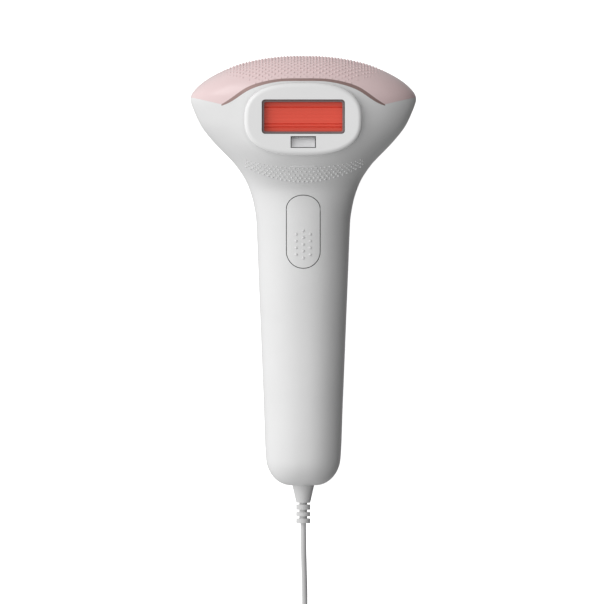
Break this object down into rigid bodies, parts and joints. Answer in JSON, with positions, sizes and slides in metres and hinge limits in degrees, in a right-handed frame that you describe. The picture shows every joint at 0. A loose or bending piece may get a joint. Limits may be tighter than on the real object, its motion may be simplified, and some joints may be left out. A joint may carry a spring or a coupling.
{
  "type": "ipl hair remover",
  "caption": "Hand-held corded light hair remover with a broad winged head, a clip-on window attachment, a flash button and a slim round handle.",
  "frame": {"origin": "under the middle of the body, on the surface that its back lies on", "axes": "+Y from the cord end to the head, +Z out of the light window, +X to the right seen from the window side"},
  "size_m": [0.0901, 0.3335, 0.0604],
  "materials": {
    "white_plastic": "satin, fine moulded texture",
    "pink_plastic": "pearl satin",
    "copper_trim": "satin rose copper",
    "dark_trim": "satin",
    "black_plastic": "moulded matt",
    "grey_plastic": "satin",
    "sensor_plastic": "smooth",
    "red_glass": "tinted, ribbed",
    "clear_glass": "clear",
    "dark_rubber": "matt",
    "cord_rubber": "satin light grey",
    "steel": "plated",
    "mirror_metal": "polished",
    "aluminium": "extruded",
    "ceramic": null,
    "circuit_board": "solder resist",
    "capacitor_sleeve": "shrink sleeve",
    "ferrite": "ferrite and tape",
    "lens_plastic": "clear light guide",
    "adapter_plastic": "fine spark texture"
  },
  "bodies": {
    "housing": {"front_shell": "white_plastic", "rear_shell": "white_plastic", "top_cover": "pink_plastic", "accent_trim": "copper_trim", "housing_screws": "steel", "light_unit_frame": "black_plastic", "filter_glass": "red_glass", "window_seal": "dark_rubber", "lamp_reflector": "mirror_metal", "flash_lamp": "clear_glass", "lamp_end_caps": "steel", "lamp_holders": "ceramic", "skin_sensor_lens": "sensor_plastic", "skin_sensor_board": "circuit_board", "contact_switches": "black_plastic", "heat_sink": "aluminium", "air_duct": "black_plastic", "fan_frame": "black_plastic", "fan_motor": "steel", "vent_grille": "grey_plastic", "main_capacitor": "capacitor_sleeve", "capacitor_strap": "black_plastic", "main_board": "circuit_board", "hv_transformer": "ferrite", "trigger_transformer": "ferrite", "button_pivot_pin": "steel", "button_return_spring": "steel", "flash_switch": "black_plastic", "switch_board": "circuit_board", "control_panel": "grey_plastic", "key_domes": "dark_rubber", "level_lenses": "lens_plastic", "strain_relief": "cord_rubber", "cord_clamp": "black_plastic", "inner_cord": "cord_rubber", "cord": "cord_rubber", "cord_coil": "cord_rubber", "coil_tie": "dark_rubber", "cord_tail": "cord_rubber", "adapter_relief": "cord_rubber", "adapter_base": "adapter_plastic", "adapter_face": "adapter_plastic", "adapter_pins": "steel"},
    "fan": {"fan_impeller": "black_plastic"},
    "attachment": {"attachment_frame": "white_plastic", "window_frame": "dark_trim", "plate_springs": "steel"},
    "plate": {"contact_plate": "white_plastic"},
    "button": {"flash_button": "white_plastic"},
    "switch_plunger": {"switch_plunger": "grey_plastic"},
    "power_key": {"power_key": "white_plastic"},
    "level_key": {"level_key": "white_plastic"}
  },
  "joints": [
    {"name": "attachment_pull", "type": "slide", "parent": "housing", "child": "attachment", "axis": [0, 0, 1], "range_m": [0, 0.03]},
    {"name": "plate_press", "type": "slide", "parent": "attachment", "child": "plate", "axis": [0, 0, -1], "range_m": [0, 0.0008], "stiffness_N_per_m": 1200, "springref_m": -0.001, "deforming": ["plate_springs"]},
    {"name": "flash_button_press", "type": "hinge", "parent": "housing", "child": "button", "pos_m": [0, 0.0247, 0.03292], "axis": [1, 0, 0], "range_deg": [0, 2], "stiffness_Nm_per_rad": 0.6, "springref_deg": -1.72, "deforming": ["button_return_spring"]},
    {"name": "switch_travel", "type": "slide", "parent": "housing", "child": "switch_plunger", "axis": [0, 0, -1], "range_m": [0, 0.0007]},
    {"name": "power_key_press", "type": "slide", "parent": "housing", "child": "power_key", "axis": [0, 0, 1], "range_m": [0, 0.0005], "stiffness_N_per_m": 1500, "springref_m": -0.0005},
    {"name": "level_key_press", "type": "slide", "parent": "housing", "child": "level_key", "axis": [0, 0, 1], "range_m": [0, 0.0005], "stiffness_N_per_m": 1500, "springref_m": -0.0005},
    {"name": "fan_spin", "type": "hinge", "parent": "housing", "child": "fan", "pos_m": [0, 0.0582, 0.0065], "axis": [0, 0, 1], "continuous": true}
  ],
  "couplings": [
    {"joint": "switch_travel", "follows": "flash_button_press", "m_per_rad": 0.0153}
  ]
}
